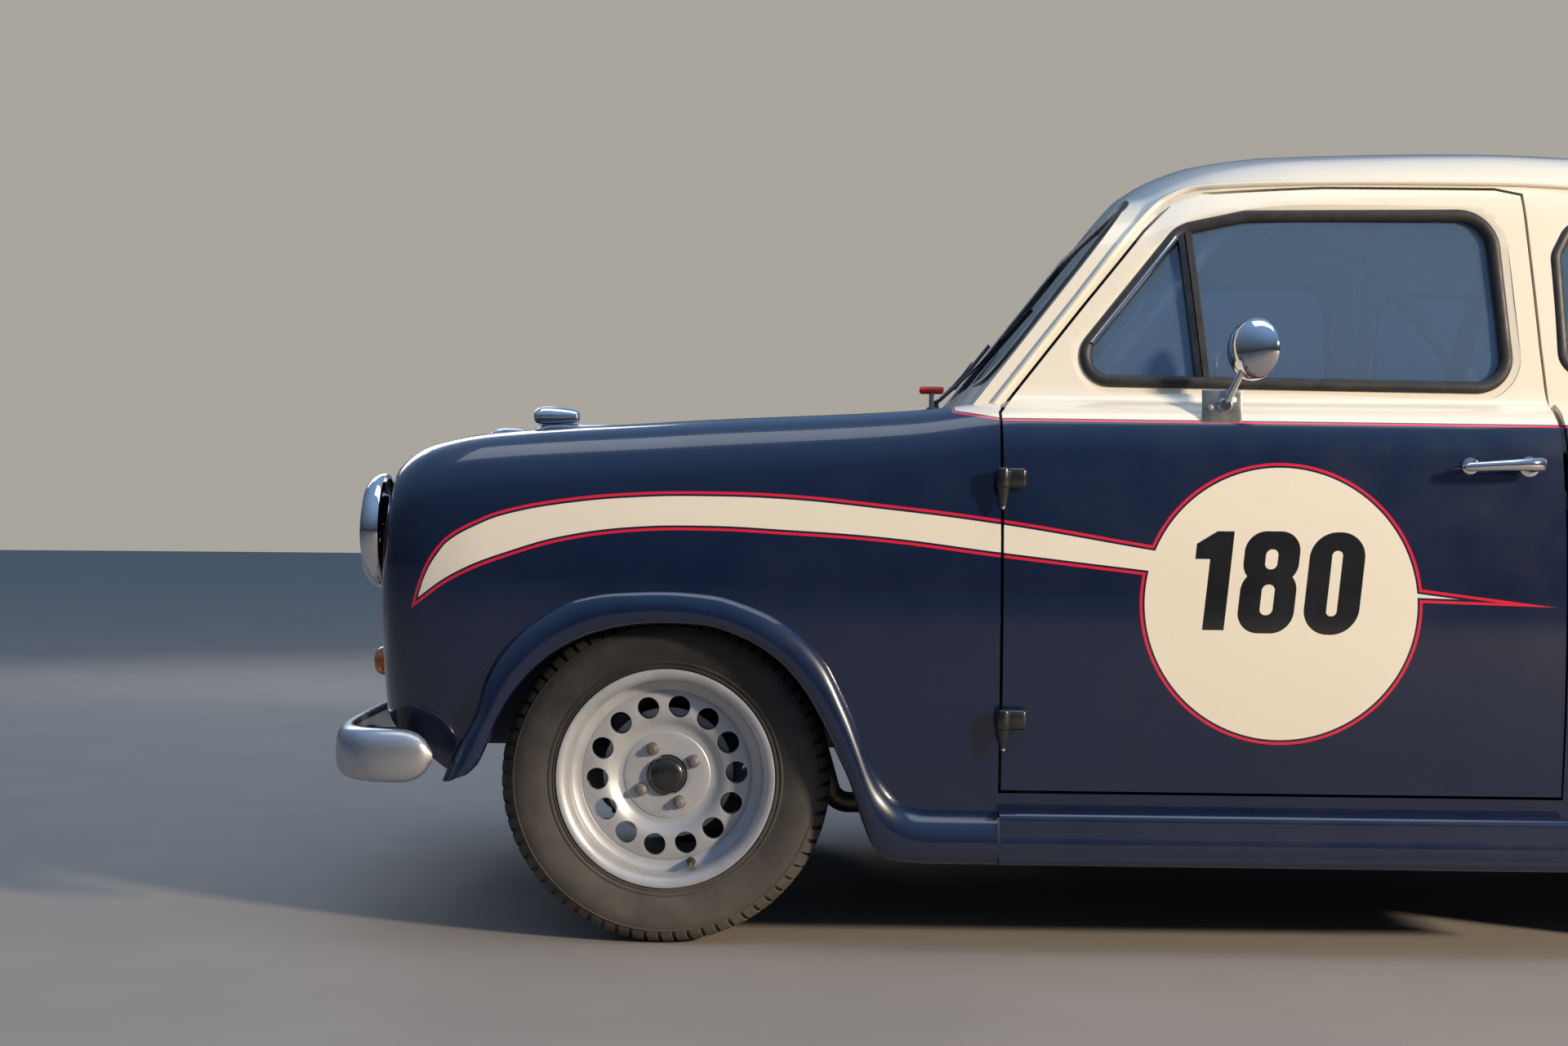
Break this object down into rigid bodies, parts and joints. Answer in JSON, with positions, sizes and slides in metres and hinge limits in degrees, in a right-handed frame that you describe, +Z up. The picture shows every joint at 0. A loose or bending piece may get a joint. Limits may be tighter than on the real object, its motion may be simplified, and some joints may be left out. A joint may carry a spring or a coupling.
{
  "type": "race car",
  "caption": "Small 1950s two-door saloon in historic race trim: navy and cream bodywork, drilled silver wheels, roll cage, opening doors, bonnet and boot, working steering",
  "frame": {"origin": "on the ground, at the middle of the length and of the width", "axes": "+X forward, +Y to the car's left, +Z up"},
  "size_m": [3.464, 1.484, 1.408],
  "materials": {
    "navy_paint": "deep gloss navy blue",
    "cream_paint": "gloss cream",
    "silver_wheel": "satin silver paint",
    "tyre_rubber": "worn black rubber",
    "black_rubber": "matt black seal",
    "bright_chrome": "polished chrome",
    "satin_bumper": "satin silver",
    "clear_glass": "clear window glass",
    "amber_lens": "ribbed amber lens",
    "red_lens": "red lens",
    "black_steel": "black chassis paint",
    "cast_metal": "cast and machined",
    "seat_cloth": "black woven cloth",
    "steel_pipe": "heat-tinted steel"
  },
  "bodies": {
    "root": {"front_wing_left": "navy_paint", "front_wing_right": "navy_paint", "scuttle": "navy_paint", "front_panel": "navy_paint", "grille": "bright_chrome", "headlamps": "bright_chrome", "front_indicators": "amber_lens", "wing_lamps": "bright_chrome", "front_bumper": "satin_bumper", "rear_bumper": "satin_bumper", "rear_quarter_left": "navy_paint", "rear_quarter_right": "navy_paint", "rear_panel": "navy_paint", "roof": "cream_paint", "quarter_glass": "clear_glass", "windscreen": "clear_glass", "rear_window": "clear_glass", "floor": "navy_paint", "front_suspension": "black_steel", "rear_axle": "black_steel", "engine": "cast_metal", "gearbox": "cast_metal", "propeller_shaft": "black_steel", "exhaust": "steel_pipe", "roll_cage": "black_steel", "dashboard": "black_steel", "driver_seat": "seat_cloth", "tail_lamps": "red_lens", "wipers": "black_steel", "cut_off_pull": "black_steel", "boot_floor": "navy_paint", "front_frame": "black_steel"},
    "bonnet": {"bonnet": "navy_paint", "bonnet_ornament": "bright_chrome"},
    "boot_lid": {"boot_lid": "navy_paint"},
    "door_left": {"door_left": "navy_paint", "door_glass_left": "clear_glass", "door_mirror_left": "bright_chrome"},
    "door_right": {"door_right": "navy_paint", "door_glass_right": "clear_glass", "door_mirror_right": "bright_chrome"},
    "steering_wheel": {"steering_wheel": "black_rubber"},
    "knuckle_left": {"knuckle_left": "cast_metal"},
    "knuckle_right": {"knuckle_right": "cast_metal"},
    "front_wheel_left": {"wheel_front_left": "silver_wheel", "tyre_front_left": "tyre_rubber"},
    "front_wheel_right": {"wheel_front_right": "silver_wheel", "tyre_front_right": "tyre_rubber"},
    "rear_wheel_left": {"wheel_rear_left": "silver_wheel", "tyre_rear_left": "tyre_rubber"},
    "rear_wheel_right": {"wheel_rear_right": "silver_wheel", "tyre_rear_right": "tyre_rubber"}
  },
  "joints": [
    {"name": "steer_left", "type": "hinge", "parent": "root", "child": "knuckle_left", "pos_m": [1.147, 0.488, 0.275], "axis": [0, 0, 1], "range_deg": [-25, 25]},
    {"name": "steer_right", "type": "hinge", "parent": "root", "child": "knuckle_right", "pos_m": [1.147, -0.488, 0.275], "axis": [0, 0, 1], "range_deg": [-25, 25]},
    {"name": "steering_wheel_turn", "type": "hinge", "parent": "root", "child": "steering_wheel", "pos_m": [0.279, -0.335, 0.862], "axis": [-0.9207, 0, 0.3903], "range_deg": [-300, 300]},
    {"name": "roll_front_left", "type": "hinge", "parent": "knuckle_left", "child": "front_wheel_left", "pos_m": [1.147, 0.5745, 0.275], "axis": [0, 1, 0], "continuous": true},
    {"name": "roll_front_right", "type": "hinge", "parent": "knuckle_right", "child": "front_wheel_right", "pos_m": [1.147, -0.5745, 0.275], "axis": [0, 1, 0], "continuous": true},
    {"name": "roll_rear_left", "type": "hinge", "parent": "root", "child": "rear_wheel_left", "pos_m": [-0.872, 0.5685, 0.275], "axis": [0, 1, 0], "continuous": true},
    {"name": "roll_rear_right", "type": "hinge", "parent": "root", "child": "rear_wheel_right", "pos_m": [-0.872, -0.5685, 0.275], "axis": [0, 1, 0], "continuous": true},
    {"name": "door_left_swing", "type": "hinge", "parent": "root", "child": "door_left", "pos_m": [0.602, 0.706, 0.568], "axis": [0, 0, 1], "range_deg": [-65, 0]},
    {"name": "door_right_swing", "type": "hinge", "parent": "root", "child": "door_right", "pos_m": [0.602, -0.706, 0.568], "axis": [0, 0, 1], "range_deg": [0, 65]},
    {"name": "bonnet_lift", "type": "hinge", "parent": "root", "child": "bonnet", "pos_m": [0.679, 0, 0.868], "axis": [0, 1, 0], "range_deg": [-45, 0]},
    {"name": "boot_lift", "type": "hinge", "parent": "root", "child": "boot_lid", "pos_m": [-1.09, 0, 0.948], "axis": [0, 1, 0], "range_deg": [0, 60]}
  ],
  "couplings": [
    {"joint": "steer_right", "follows": "steer_left", "ratio": 1},
    {"joint": "steering_wheel_turn", "follows": "steer_left", "ratio": 12}
  ]
}
